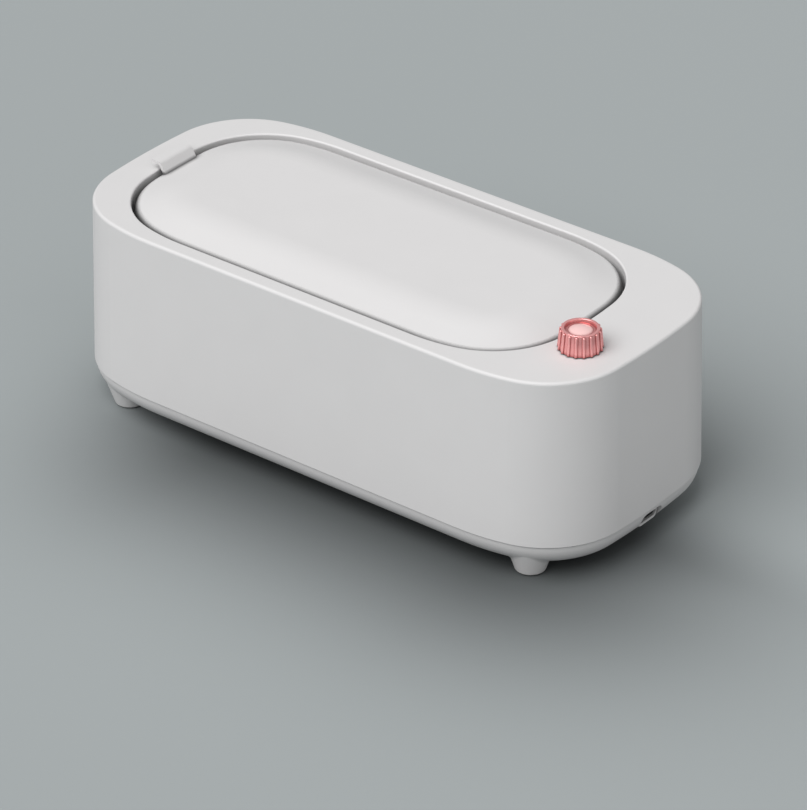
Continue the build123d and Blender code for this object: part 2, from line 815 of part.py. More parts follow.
def usb_tongue():
    """The insulator: a plug that fills the back of the sleeve, and the contact tongue."""
    back = socket_back_x + socket_wall
    root = socket_length - socket_wall - tongue_length - socket_recess
    wall = 2 * socket_wall
    insulator = rounded_bar(
        back, back + root, socket_width - wall, socket_height - wall, socket_corner_radius - socket_wall
    )
    return insulator + rounded_bar(
        back, back + root + tongue_length, tongue_width, tongue_thickness, tongue_thickness * 0.45
    )


os.makedirs("parts", exist_ok=True)
keep("upper_housing", upper_housing())
keep("bottom_shell", bottom_shell())
keep("foot_pads", *foot_pads())
keep("case_screws", *case_screws())
keep("tank", tank())
keep("tank_gasket", tank_gasket())
keep("transducer", transducer())
keep("transducer_electrode", transducer_electrode())
keep("lid_cover", lid_cover())
keep("lid_liner", lid_liner())
keep("lid_seal", lid_seal())
keep("lens_basket", lens_basket())
keep("knob", knob())
keep("knob_button", knob_button())
keep("encoder_shaft", encoder_shaft())
keep("encoder_body", encoder_body())
keep("push_switch", push_switch())
keep("switch_plunger", switch_plunger())
keep("driver_board", driver_board())
keep("control_board", control_board())
keep("usb_board", usb_board())
keep("board_screws", *board_screws())
keep("transformer_core", transformer_core())
keep("transformer_winding", transformer_winding())
keep("choke", choke())
keep("capacitors", *capacitors())
keep("transistors", *transistors())
keep("connectors", *connectors())
keep("usb_socket", usb_socket())
keep("usb_tongue", usb_tongue())
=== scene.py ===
import math

import bpy
from bpy.props import FloatProperty, FloatVectorProperty, IntProperty, PointerProperty
from mathutils import Matrix, Vector


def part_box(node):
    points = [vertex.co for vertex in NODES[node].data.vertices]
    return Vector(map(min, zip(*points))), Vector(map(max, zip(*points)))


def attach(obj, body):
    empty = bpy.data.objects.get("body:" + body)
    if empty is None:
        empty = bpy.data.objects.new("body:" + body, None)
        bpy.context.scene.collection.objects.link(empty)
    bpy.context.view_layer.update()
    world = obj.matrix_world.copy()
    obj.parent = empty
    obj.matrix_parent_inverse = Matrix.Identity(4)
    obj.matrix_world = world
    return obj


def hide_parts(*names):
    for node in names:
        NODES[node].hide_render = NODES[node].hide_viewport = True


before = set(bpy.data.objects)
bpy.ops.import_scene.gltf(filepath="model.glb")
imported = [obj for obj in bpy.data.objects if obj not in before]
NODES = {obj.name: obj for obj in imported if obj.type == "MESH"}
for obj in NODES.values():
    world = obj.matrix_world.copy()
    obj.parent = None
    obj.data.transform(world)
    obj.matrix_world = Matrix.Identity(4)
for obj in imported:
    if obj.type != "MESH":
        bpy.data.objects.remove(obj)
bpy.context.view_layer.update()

bl_info = {
    "name": "Ultrasonic Lens Cleaner",
    "version": (1, 0, 0),
    "blender": (4, 5, 0),
    "location": "View3D > Sidebar > Lens Cleaner",
    "description": "Gives the parts of an ultrasonic lens cleaner their finishes, fine details and stage",
    "category": "Object",
}

MM = 0.001

# Sides round the axis of a turned piece, and steps along an arc of its profile.
SIDES_PER_RIB = 8
RIB_SIDES = 16
BUTTON_SIDES = 96
EDGE_STEPS = 4
RIB_HEAD_STEPS = 5
DOME_STEPS = 12
# The last arc of a closed piece stops at this angle, in degrees, and a small flat disc ends the piece.
RIB_HEAD_END = 80
DOME_END = 88.5
MERGE_DISTANCE = 0.001 * MM
CLOUD_GRAINS = 60  # width of one cloud in the moulded finish, in grains
SMOOTH_ANGLE = math.radians(30)
FLOOR_SIZE = 12.0  # metres
SENSOR_WIDTH = 36.0  # millimetres


def centre_of(node):
    """The middle of a part's box at rest."""
    low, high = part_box(node)
    return (low + high) / 2


# ---------------------------------------------------------------- sizes and colours
def colour_property(name, description, colour):
    return FloatVectorProperty(
        name=name, description=description, subtype="COLOR", size=3, min=0, max=1, default=colour
    )


def length_property(name, description, millimetres):
    return FloatProperty(
        name=name, description=description, default=millimetres * MM, min=0, unit="LENGTH", precision=5
    )


def angle_property(name, description, degrees):
    return FloatProperty(name=name, description=description, default=math.radians(degrees), unit="ROTATION")


def factor_property(name, description, value):
    return FloatProperty(name=name, description=description, default=value, min=0)


class ShellSettings(bpy.types.PropertyGroup):
    """The moulded outer shells."""

    colour: colour_property("Shell colour", "Colour of the housing, base and lid", (0.685, 0.675, 0.675))
    grain: length_property("Grain size", "Width of one grain of the moulded texture", 0.22)
    grain_depth: length_property("Grain depth", "Depth of the moulded texture", 0.004)
    roughness: factor_property("Roughness", "Roughness of the shells", 0.52)
    # The gap settings paint shade into the shells' colour. Ambient occlusion darkens it in narrow gaps and
    # creases, such as the parting line and round the knob's foot. On the lid it darkens the gap round it, below
    # a height just over the rim.
    gap_shade_reach: length_property("Gap reach", "Width of the gaps that look dark between the shells", 0.7)
    gap_shade_depth: factor_property("Gap depth", "How quickly these gaps darken", 1.5)
    gap_shade: factor_property("Gap shade", "Share of the shells' colour that is left deep in a gap", 0.08)
    lid_gap_shade_reach: length_property("Lid gap reach", "Width of the gap that looks dark round the lid", 3)
    lid_gap_shade_depth: factor_property("Lid gap depth", "How quickly the gap round the lid darkens", 4)
    lid_gap_shade_top: length_property("Lid gap top", "How far above the rim the gap round the lid darkens", 0.5)


class BathSettings(bpy.types.PropertyGroup):
    """The tank, the basket and the rubber parts."""

    steel_colour: colour_property("Steel colour", "Colour of the drawn tank", (0.62, 0.62, 0.61))
    steel_roughness: factor_property("Steel roughness", "Roughness of the drawn tank", 0.28)
    basket_colour: colour_property("Basket colour", "Colour of the lens basket", (0.74, 0.76, 0.77))
    silicone_colour: colour_property(
        "Silicone colour", "Colour of the seals and foot pads", (0.60, 0.60, 0.59)
    )


class KnobSettings(bpy.types.PropertyGroup):
    """The knob, its button and what they stand on."""

    colour: colour_property("Knob colour", "Colour of the ribbed knob", (0.96, 0.43, 0.42))
    button_colour: colour_property("Button colour", "Colour of the button in the knob", (0.95, 0.63, 0.61))
    roughness: factor_property("Knob roughness", "Roughness of the polished metal", 0.18)
    # The crease settings paint shade into the creases of the knob and its button: ambient occlusion blends this
    # dark red into their colour.
    crease_shade_colour: colour_property(
        "Crease colour", "Colour of the film deep in the creases", (0.32, 0.04, 0.04)
    )
    crease_shade_reach: length_property("Crease reach", "Width of the creases that look darker", 1.5)
    crease_shade_depth: factor_property("Crease depth", "How quickly these creases darken", 3)
    metallic: factor_property("Knob metallic", "Share of metal in the look of the knob's film", 0.6)
    button_metallic: factor_property(
        "Button metallic", "Share of metal in the look of the button's film", 0.1
    )
    height: length_property("Knob height", "Height of the knob", 6.8)
    base_radius: length_property("Knob base radius", "Radius at the foot, between the ribs", 6.5)
    top_radius: length_property("Knob top radius", "Radius at the top, between the ribs", 5.84)
    edge_radius: length_property("Knob edge radius", "Rounding of the ring's edges", 0.25)
    dish_radius: length_property("Dish radius", "Radius of the dish at the top", 4.85)
    dish_depth: length_property("Dish depth", "Depth of the dish round the button", 0.9)
    rib_radius: length_property("Rib radius", "Radius of one rib", 0.5)
    rib_count: IntProperty(
        name="Rib count", description="How many ribs stand round the knob", default=17, min=3
    )
    rib_turn: angle_property("Rib turn", "Turn of the first rib round the knob", -44.3)
    rib_drop: length_property("Rib drop", "How far a rib's round head stays below the top", 0.25)
    hub_radius: length_property("Hub radius", "Radius of the bore for the shaft", 2.7)
    cavity_radius: length_property("Cavity radius", "Radius of the hollow below the hub", 4.7)
    cavity_height: length_property("Cavity height", "Height of the hollow below the hub", 2.0)
    hub_height: length_property("Hub height", "Height of the hub", 1.75)
    button_radius: length_property("Button radius", "Radius of the button", 3.7)
    button_gap: length_property("Button gap", "Gap round the button", 0.1)
    button_dome: length_property("Button dome", "Height of the button's dome", 0.9)
    button_thickness: length_property("Button thickness", "Thickness of the button at its rim", 1.0)
    stem_radius: length_property("Stem radius", "Radius of the button's stem", 1.6)
    stem_foot_radius: length_property("Stem foot radius", "Radius of the snap foot of the stem", 2.2)
    stem_foot_lift: length_property("Stem foot lift", "How far the snap foot sits above the stem's end", 0.2)
    stem_foot_height: length_property("Stem foot height", "Height of the snap foot", 0.4)
    lathe_pitch: length_property("Turning pitch", "Width of one turning line on the top of the knob", 0.09)
    shaft_colour: colour_property("Shaft colour", "Colour of the encoder's shaft", (0.6, 0.6, 0.6))
    encoder_colour: colour_property("Encoder colour", "Colour of the encoder's can", (0.5, 0.5, 0.5))
    switch_colour: colour_property("Switch colour", "Colour of the switch and plunger", (0.03, 0.03, 0.032))


class ElectronicsSettings(bpy.types.PropertyGroup):
    """The boards, what is on them, the screws and the transducer."""

    mask_colour: colour_property("Solder mask colour", "Colour of the boards", (0.015, 0.12, 0.05))
    ferrite_colour: colour_property("Ferrite colour", "Colour of the cores", (0.06, 0.06, 0.065))
    wire_colour: colour_property("Wire colour", "Colour of the winding's wire", (0.55, 0.22, 0.08))
    wire: length_property("Wire thickness", "Thickness of the winding's wire", 0.3)
    sleeve_colour: colour_property("Sleeve colour", "Colour of the capacitors", (0.08, 0.1, 0.2))
    epoxy_colour: colour_property("Epoxy colour", "Colour of the transistors", (0.03, 0.03, 0.03))
    nylon_colour: colour_property("Nylon colour", "Colour of the connectors", (0.78, 0.74, 0.62))
    screw_colour: colour_property("Screw colour", "Colour of the screws", (0.55, 0.55, 0.56))
    ceramic_colour: colour_property("Ceramic colour", "Colour of the transducer", (0.5, 0.47, 0.4))
    silver_colour: colour_property("Silver colour", "Colour of the electrode", (0.75, 0.75, 0.76))


class InletSettings(bpy.types.PropertyGroup):
    """The USB-C socket."""

    sleeve_colour: colour_property("Socket colour", "Colour of the socket's sleeve", (0.62, 0.62, 0.62))
    tongue_colour: colour_property("Tongue colour", "Colour of the socket's tongue", (0.02, 0.02, 0.02))


class StageSettings(bpy.types.PropertyGroup):
    """The floor, the lamps and the camera."""

    floor_colour: colour_property("Floor colour", "Colour of the floor", (0.355, 0.383, 0.388))
    backdrop_colour: colour_property("Backdrop colour", "Colour behind the floor", (0.36, 0.385, 0.395))
    ambient: factor_property("Ambient light", "Strength of the even light from all round", 0.22)
    key: factor_property(
        "Key light", "Share of white that the key light gives on a surface that faces it", 0.93
    )
    key_azimuth: angle_property("Key azimuth", "Turn of the key light round the object", -12.7)
    key_elevation: angle_property("Key elevation", "Angle of the key light above the horizon", 55.5)
    key_softness: angle_property("Key softness", "Width of the key light in the sky", 60)
    fill: factor_property(
        "Fill light", "Share of white that the fill light gives on a surface that faces it", 0.225
    )
    fill_azimuth: angle_property("Fill azimuth", "Turn of the fill light round the object", 80)
    fill_elevation: angle_property("Fill elevation", "Angle of the fill light above the horizon", 15)
    fill_softness: angle_property("Fill softness", "Width of the fill light in the sky", 90)
    # The shade settings shape a shadow painted into the floor's colour. It stays where it is and does not come
    # from the lamps.
    shade_depth: factor_property(
        "Shade depth", "Share of its brightness that the floor loses in the shade", 0.82
    )
    shade_front: length_property("Shade front", "How far the shade spreads in front", 62)
    shade_back: length_property("Shade back", "How far the shade spreads behind", 23)
    shade_left: length_property("Shade left", "How far the shade spreads past the left end", 54)
    shade_right: length_property("Shade right", "How far the shade spreads past the right end", 78)
    shade_length: length_property("Shade length", "Length of the darkest part of the shade", 98)
    shade_width: length_property("Shade width", "Width of the darkest part of the shade", 22)
    shade_centre: FloatVectorProperty(
        name="Shade centre", description="Middle of the shade", subtype="TRANSLATION", size=3,
        default=(0.0153, -0.016, 0), precision=5,
    )
    camera_azimuth: angle_property("Camera azimuth", "Turn of the camera round the object", 38.43)
    camera_elevation: angle_property("Camera elevation", "Angle of the camera above the horizon", 30.77)
    camera_roll: angle_property("Camera roll", "Tilt of the camera about its own axis", -0.21)
    camera_place: FloatVectorProperty(
        name="Camera place", description="Where the camera stands", subtype="TRANSLATION", size=3,
        default=(0.8286, -1.0388, 0.8032), precision=5,
    )
    camera_lens: FloatProperty(
        name="Camera lens", description="Focal length on a 36 mm sensor", default=218.9, min=1
    )


class CleanerSettings(bpy.types.PropertyGroup):
    """Everything that can be set on the lens cleaner."""

    shells: PointerProperty(type=ShellSettings)
    bath: PointerProperty(type=BathSettings)
    knob: PointerProperty(type=KnobSettings)
    electronics: PointerProperty(type=ElectronicsSettings)
    inlet: PointerProperty(type=InletSettings)
    stage: PointerProperty(type=StageSettings)


# ---------------------------------------------------------------- finishes
class Signal:
    """One output of a shader node. Arithmetic on it adds Math nodes."""

    def __init__(self, finish, output):
        self.finish = finish
        self.output = output

    def out(self, name):
        """Another output of the same node."""
        return Signal(self.finish, self.output.node.outputs[name])

    def math(self, operation, *values):
        """The output of a Math node with these values."""
        return self.finish.node("ShaderNodeMath", {"operation": operation}, dict(enumerate(values)))

    def at_least(self, value):
        return self.math("MAXIMUM", self, value)

    def at_most(self, value):
        return self.math("MINIMUM", self, value)

    def wave(self, length):
        """A wave between -1 and 1, with this length."""
        return self.math("SINE", self * (math.tau / length))

    def __add__(self, other):
        return self.math("ADD", self, other)

    def __radd__(self, other):
        return self.math("ADD", other, self)

    def __sub__(self, other):
        return self.math("SUBTRACT", self, other)

    def __rsub__(self, other):
        return self.math("SUBTRACT", other, self)

    def __mul__(self, other):
        return self.math("MULTIPLY", self, other)

    def __rmul__(self, other):
        return self.math("MULTIPLY", other, self)

    def __truediv__(self, other):
        return self.math("DIVIDE", self, other)

    def __rtruediv__(self, other):
        return self.math("DIVIDE", other, self)

    def __pow__(self, other):
        return self.math("POWER", self, other)

    def __rpow__(self, other):
        return self.math("POWER", other, self)


class Finish:
    """A material or world in the making."""

    def __init__(self, owner):
        owner.use_nodes = True
        self.tree = owner.node_tree
        self.tree.nodes.clear()

    def node(self, kind, settings=None, sockets=None):
        """Adds a node: its settings are set first, then its sockets get their values or links."""
        made = self.tree.nodes.new(kind)
        for key, value in (settings or {}).items():
            setattr(made, key, value)
        for key, value in (sockets or {}).items():
            if isinstance(value, Signal):
                self.tree.links.new(value.output, made.inputs[key])
            else:
                made.inputs[key].default_value = value
        if not made.outputs:
            return made
        return Signal(self, next((output for output in made.outputs if output.enabled), None))

    def place(self, shift=(0, 0, 0)):
        """Object coordinates, counted from a point."""
        coordinates = self.node("ShaderNodeTexCoord").out("Object")
        return self.node("ShaderNodeVectorMath", {"operation": "SUBTRACT"}, {0: coordinates, 1: shift})

    def noise(self, place, size, detail=2.0, roughness=0.5, stretch=(1, 1, 1)):
        """Noise whose grains are about size wide, drawn out by stretch along each axis."""
        scale = [1 / (size * axis) for axis in stretch]
        grown = self.node("ShaderNodeVectorMath", {"operation": "MULTIPLY"}, {0: place, 1: scale})
        return self.node(
            "ShaderNodeTexNoise", {"noise_dimensions": "3D"},
            {"Vector": grown, "Scale": 1.0, "Detail": detail, "Roughness": roughness},
        )

    def blend(self, factor, first, second):
        """A colour between two colours."""
        mix = self.node("ShaderNodeMix", {"data_type": "RGBA"}, {"Factor": factor, 6: first, 7: second})
        return mix.out(2)

    def tinted(self, pattern, colour, dark, light):
        """A colour that a pattern takes from dark to light, both given as factors of it."""
        return self.blend(pattern, solid(colour, dark), solid(colour, light))

    def bump(self, height, depth):
        """The surface's normal under a relief of a depth."""
        return self.node("ShaderNodeBump", {}, {"Height": height, "Strength": 1.0, "Distance": depth})

    def openness(self, reach):
        """1 on open surfaces, less where something stands within reach; the finishes use it to paint shade into
        their colour.
        """
        return self.node("ShaderNodeAmbientOcclusion", {"samples": 8}, {"Distance": reach}).out("AO")

    def surface(self, sockets):
        """Ends the material in one Principled shader."""
        shader = self.node("ShaderNodeBsdfPrincipled", {}, sockets)
        self.node("ShaderNodeOutputMaterial", {}, {"Surface": shader})


def solid(colour, factor=1.0):
    """A colour for a socket, with its alpha, made darker or lighter by a factor."""
    return (*(min(1.0, value * factor) for value in colour), 1.0)


def about(value, spread, pattern):
    """A value that a pattern moves by up to half a spread either way."""
    return value + spread * (pattern - 0.5)


def material(name, build, *values, **named):
    """A new material that a function builds."""
    made = bpy.data.materials.new(name)
    build(Finish(made), *values, **named)
    return made


def dress(made, *nodes):
    """Gives parts a material."""
    for node in nodes:
        data = NODES[node].data
        data.materials.clear()
        data.materials.append(made)


def moulded(finish, colour, grain, grain_depth, roughness, gap_shade, gap_shade_reach, gap_shade_depth, gap_shade_top=1.0):
    """Matt moulded plastic with a fine grain and a faint cloud in its colour and sheen.

    It has painted shade: ambient occlusion darkens its colour in gaps and creases, below a top height that by
    default is above everything.
    """
    place = finish.place()
    fine = finish.noise(place, grain, detail=3.0, roughness=0.6)
    cloud = finish.noise(place, CLOUD_GRAINS * grain, detail=2.0)
    clouded = finish.tinted(cloud, colour, 0.985, 1.015)
    # Painted shade: below the top height, the colour darkens where ambient occlusion finds something near.
    height = finish.node("ShaderNodeSeparateXYZ", {}, {0: place}).out("Z")
    low = ((gap_shade_top - height) / MM).at_least(0.0).at_most(1.0)
    unshaded_share = finish.openness(gap_shade_reach) ** (gap_shade_depth * low)
    finish.surface({
        "Base Color": finish.blend(unshaded_share, solid(colour, gap_shade), clouded),
        "Roughness": about(about(roughness, 0.06, cloud), 0.08, fine),
        "Normal": finish.bump(fine, grain_depth),
        "IOR": 1.46,
    })


def drawn_steel(finish, colour, roughness):
    """Deep-drawn stainless steel: draw lines up the walls and a soft haze."""
    place = finish.place()
    lines = finish.noise(place, size=0.25 * MM, detail=2.0, stretch=(1, 1, 60))
    haze = finish.noise(place, size=9 * MM, detail=3.0)
    finish.surface({
        "Base Color": finish.tinted(haze, colour, 0.95, 1.04),
        "Metallic": 1.0,
        "Roughness": about(about(roughness, 0.10, haze), 0.10, lines),
        "Normal": finish.bump(lines, depth=0.004 * MM),
    })


def satin_plastic(finish, colour, roughness=0.38):
    """Satin injection-moulded plastic, slightly milky."""
    place = finish.place()
    fine = finish.noise(place, size=0.4 * MM, detail=2.0)
    flow = finish.noise(place, size=14 * MM, detail=2.0, stretch=(2, 1, 1))
    finish.surface({
        "Base Color": finish.tinted(flow, colour, 0.98, 1.02),
        "Roughness": about(roughness, 0.08, fine),
        "Normal": finish.bump(fine, depth=0.003 * MM),
        "Subsurface Weight": 0.08,
        "Subsurface Radius": (0.002, 0.002, 0.002),
        "Subsurface Scale": 0.5,
    })


def silicone(finish, colour):
    """Soft silicone with a dusty bloom."""
    place = finish.place()
    bloom = finish.noise(place, size=1.2 * MM, detail=4.0, roughness=0.65)
    finish.surface({
        "Base Color": finish.tinted(bloom, colour, 0.94, 1.05),
        "Roughness": about(0.62, 0.12, bloom),
        "Normal": finish.bump(bloom, depth=0.01 * MM),
    })


def turned_metal(finish, colour, roughness, pitch, axis_place, metallic=1.0, crease_shade=None):
    """Polished coloured metal with fine turning lines round an upright axis.

    A crease shade holds the colour, reach and depth of a shade painted into its creases.
    """
    place = finish.place(axis_place)
    parts = finish.node("ShaderNodeSeparateXYZ", {}, {0: place})
    radius = (parts.out("X") ** 2 + parts.out("Y") ** 2) ** 0.5
    rings = radius.wave(pitch)
    stain = finish.noise(place, size=1.5 * MM, detail=3.0)
    stained = finish.tinted(stain, colour, 0.97, 1.03)
    # Painted shade: ambient occlusion blends a dark colour into the creases.
    if crease_shade:
        crease_shade_colour, reach, depth = crease_shade
        stained = finish.blend(finish.openness(reach) ** depth, solid(crease_shade_colour), stained)
    finish.surface({
        "Base Color": stained,
        "Metallic": metallic,
        "Roughness": about(roughness, 0.06, stain) + 0.02 * rings,
        "Normal": finish.bump(rings, depth=0.0004 * MM),
    })


def plated_steel(finish, colour, roughness):
    """Plated steel with a fine cross grain."""
    place = finish.place()
    grain = finish.noise(place, size=0.12 * MM, detail=2.0, stretch=(8, 1, 1))
    spots = finish.noise(place, size=2 * MM, detail=4.0)
    finish.surface({
        "Base Color": finish.tinted(spots, colour, 0.9, 1.08),
        "Metallic": 1.0,
        "Roughness": about(roughness, 0.12, grain),
        "Normal": finish.bump(grain, depth=0.002 * MM),
    })


def speckled(finish, colour, roughness, size):
    """Sintered, sleeved or plain moulded material with a fine speckle."""
    place = finish.place()
    speckle = finish.noise(place, size, detail=3.0, roughness=0.7)
    finish.surface({
        "Base Color": finish.tinted(speckle, colour, 0.8, 1.25),
        "Roughness": about(roughness, 0.1, speckle),
        "Normal": finish.bump(speckle, depth=0.008 * MM),
    })


def circuit_board(finish, colour, cells_per_metre=260.0, track_share=0.09):
    """Solder mask over copper: lighter tracks between the cells of a darker ground."""
    place = finish.place()
    tracks = finish.node(
        "ShaderNodeTexVoronoi", {"feature": "DISTANCE_TO_EDGE", "distance": "EUCLIDEAN"},
        {"Vector": place, "Scale": cells_per_metre},
    )
    mask = tracks.math("LESS_THAN", tracks, track_share)
    finish.surface({
        "Base Color": finish.tinted(mask, colour, 1.0, 1.9),
        "Roughness": 0.32 + 0.1 * mask,
        "Normal": finish.bump(mask, depth=0.02 * MM),
        "Coat Weight": 0.3,
    })


def wound_copper(finish, colour, wire):
    """Enamelled wire of a thickness, in close turns about an upright axis, with painted shade between the turns
    and a painted highlight on each.
    """
    place = finish.place()
    height = finish.node("ShaderNodeSeparateXYZ", {}, {0: place}).out("Z")
    turns = height.wave(wire)
    finish.surface({
        # Painted shade and highlight: the colour darkens between the turns and lightens on their crowns.
        "Base Color": finish.tinted(0.5 + 0.5 * turns, colour, 0.7, 1.2),
        "Roughness": 0.3 + 0.05 * turns,
        "Metallic": 0.6,
        "Normal": finish.bump(turns, depth=0.05 * MM),
    })


# ---------------------------------------------------------------- operators
class CLEANER_OT_shells(bpy.types.Operator):
    """Finishes the housing, the bottom shell, the lid and its liner"""

    bl_idname = "cleaner.shells"
    bl_label = "Shells"

    def execute(self, context):
        shells = context.scene.lens_cleaner.shells
        look = (shells.colour, shells.grain, shells.grain_depth, shells.roughness, shells.gap_shade)
        # The housing, the base and the lid get painted shade in their gaps and creases.
        narrow = (shells.gap_shade_reach, shells.gap_shade_depth)
        wide = (shells.lid_gap_shade_reach, shells.lid_gap_shade_depth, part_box("upper_housing")[1].z + shells.lid_gap_shade_top)
        dress(material("moulded_shell", moulded, *look, *narrow), "upper_housing", "bottom_shell")
        dress(material("moulded_lid", moulded, *look, *wide), "lid_cover")
        dress(material("moulded_liner", satin_plastic, shells.colour), "lid_liner")
        return {"FINISHED"}


class CLEANER_OT_bath(bpy.types.Operator):
    """Finishes the tank, the basket, the seals and the foot pads"""

    bl_idname = "cleaner.bath"
    bl_label = "Bath"

    def execute(self, context):
        bath = context.scene.lens_cleaner.bath
        dress(material("drawn_steel", drawn_steel, bath.steel_colour, bath.steel_roughness), "tank")
        dress(material("basket_plastic", satin_plastic, bath.basket_colour), "lens_basket")
        dress(material("silicone", silicone, bath.silicone_colour), "tank_gasket", "lid_seal", "foot_pads")
        return {"FINISHED"}


def arc(centre, radius, start, end, steps):
    """Points of a profile along an arc round a (radius, height) centre; angles in degrees."""
    turns = [math.radians(start + (end - start) * step / steps) for step in range(steps + 1)]
    return [(centre[0] + radius * math.cos(turn), centre[1] + radius * math.sin(turn)) for turn in turns]


def turned_piece(name, axis, profile, sides, closed):
    """A piece turned round an upright axis; a closed one has a disc at each end, an open one is a ring."""
    bpy.ops.object.select_all(action="DESELECT")
    radius, height = profile[0]
    fill = "NGON" if closed else "NOTHING"
    bpy.ops.mesh.primitive_circle_add(
        vertices=sides, radius=radius, fill_type=fill, location=(axis.x, axis.y, height)
    )
    piece = bpy.context.object
    piece.name = name
    bpy.ops.object.transform_apply(location=True, rotation=True, scale=True)
    bpy.ops.object.mode_set(mode="EDIT")
    bpy.ops.mesh.select_all(action="SELECT")
    for next_radius, next_height in profile[1:]:
        bpy.ops.mesh.extrude_region_move(TRANSFORM_OT_translate={"value": (0, 0, next_height - height)})
        grow = next_radius / radius
        bpy.ops.transform.resize(value=(grow, grow, 1), center_override=(axis.x, axis.y, next_height))
        radius, height = next_radius, next_height
    bpy.ops.mesh.select_all(action="SELECT")
    bpy.ops.mesh.remove_doubles(threshold=MERGE_DISTANCE)
    bpy.ops.mesh.normals_make_consistent(inside=False)
    bpy.ops.object.mode_set(mode="OBJECT")
    return piece


def unite(piece, other):
    """Joins another piece to this one, with a boolean."""
    bpy.ops.object.select_all(action="DESELECT")
    bpy.context.view_layer.objects.active = piece
    piece.select_set(True)
    joint = piece.modifiers.new("unite", "BOOLEAN")
    joint.operation = "UNION"
    joint.solver = "EXACT"
    joint.object = other
    bpy.ops.object.modifier_apply(modifier=joint.name)
    bpy.data.objects.remove(other, do_unlink=True)


def stand_in(piece, made, node, body):
    """Puts a finished piece in the place of a CAD node."""
    bpy.ops.object.select_all(action="DESELECT")
    bpy.context.view_layer.objects.active = piece
    piece.select_set(True)
    bpy.ops.object.shade_smooth_by_angle(angle=SMOOTH_ANGLE)
    piece.data.materials.clear()
    piece.data.materials.append(made)
    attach(piece, body)
    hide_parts(node)


class CLEANER_OT_knob(bpy.types.Operator):
    """Makes the knob and its button, and finishes the shaft and encoder under them"""

    bl_idname = "cleaner.knob"
    bl_label = "Knob"

    @staticmethod
    def ring(knob, axis, bottom):
        """The ribbed ring: a dish with a bore for the button, and a hub on the shaft."""
        top = bottom + knob.height
        edge = knob.edge_radius
        floor = top - knob.dish_depth
        hub_bottom = bottom + knob.cavity_height
        hub_top = hub_bottom + knob.hub_height
        bore = knob.button_radius + knob.button_gap
        profile = [(knob.base_radius, bottom)]
        profile += arc((knob.top_radius - edge, top - edge), edge, 0, 90, EDGE_STEPS)
        profile += arc((knob.dish_radius + edge, top - edge), edge, 90, 180, EDGE_STEPS)
        profile += [
            (knob.dish_radius - edge, floor), (bore, floor), (bore, hub_top), (knob.hub_radius, hub_top),
            (knob.hub_radius, hub_bottom), (knob.cavity_radius, hub_bottom), (knob.cavity_radius, bottom),
            (knob.base_radius, bottom),
        ]
        return turned_piece("ribbed_knob", axis, profile, sides=SIDES_PER_RIB * knob.rib_count, closed=False)

    @staticmethod
    def rib(knob, axis, bottom, number):
        """One leaning rib with a round head."""
        head = knob.height - knob.rib_drop - knob.rib_radius
        profile = [(knob.rib_radius, 0)] + arc((0, head), knob.rib_radius, 0, RIB_HEAD_END, RIB_HEAD_STEPS)
        made = turned_piece("rib", Vector(), profile, sides=RIB_SIDES, closed=True)
        lean = math.atan((knob.base_radius - knob.top_radius) / knob.height)
        turn = Matrix.Rotation(knob.rib_turn + number * math.tau / knob.rib_count, 4, "Z")
        foot = Matrix.Translation((knob.base_radius, 0, 0)) @ Matrix.Rotation(-lean, 4, "Y")
        made.data.transform(Matrix.Translation((axis.x, axis.y, bottom)) @ turn @ foot)
        return made

    @staticmethod
    def button(knob, axis, bottom, stem_bottom):
        """The domed button, on a stem with a snap foot."""
        rim = bottom + knob.height - knob.dish_depth
        under = rim - knob.button_thickness
        foot_bottom = stem_bottom + knob.stem_foot_lift
        foot_top = foot_bottom + knob.stem_foot_height
        sphere = (knob.button_radius ** 2 + knob.button_dome ** 2) / (2 * knob.button_dome)
        start = math.degrees(math.acos(knob.button_radius / sphere))
        profile = [
            (knob.stem_radius, stem_bottom), (knob.stem_radius, foot_bottom),
            (knob.stem_foot_radius, foot_bottom), (knob.stem_foot_radius, foot_top),
            (knob.stem_radius, foot_top), (knob.stem_radius, under), (knob.button_radius, under),
        ]
        profile += arc((0, rim + knob.button_dome - sphere), sphere, start, DOME_END, DOME_STEPS)
        return turned_piece("domed_button", axis, profile, sides=BUTTON_SIDES, closed=True)

    def execute(self, context):
        knob = context.scene.lens_cleaner.knob
        axis = centre_of("knob_button")
        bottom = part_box("knob")[0].z
        look = (knob.roughness, knob.lathe_pitch, (axis.x, axis.y, 0))
        # Painted shade for the creases of the knob and its button.
        crease_shade = (knob.crease_shade_colour, knob.crease_shade_reach, knob.crease_shade_depth)
        ring = self.ring(knob, axis, bottom)
        for number in range(knob.rib_count):
            unite(ring, self.rib(knob, axis, bottom, number))
        made = material("rose_metal", turned_metal, knob.colour, *look, knob.metallic, crease_shade)
        stand_in(ring, made, "knob", "dial")
        button = self.button(knob, axis, bottom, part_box("knob_button")[0].z)
        made = material("rose_button", turned_metal, knob.button_colour, *look, knob.button_metallic, crease_shade)
        stand_in(button, made, "knob_button", "button")
        dress(material("shaft_metal", turned_metal, knob.shaft_colour, *look), "encoder_shaft")
        dress(material("encoder_can", plated_steel, knob.encoder_colour, roughness=0.35), "encoder_body")
        black = material("black_plastic", speckled, knob.switch_colour, roughness=0.5, size=0.3 * MM)
        dress(black, "push_switch", "switch_plunger")
        return {"FINISHED"}


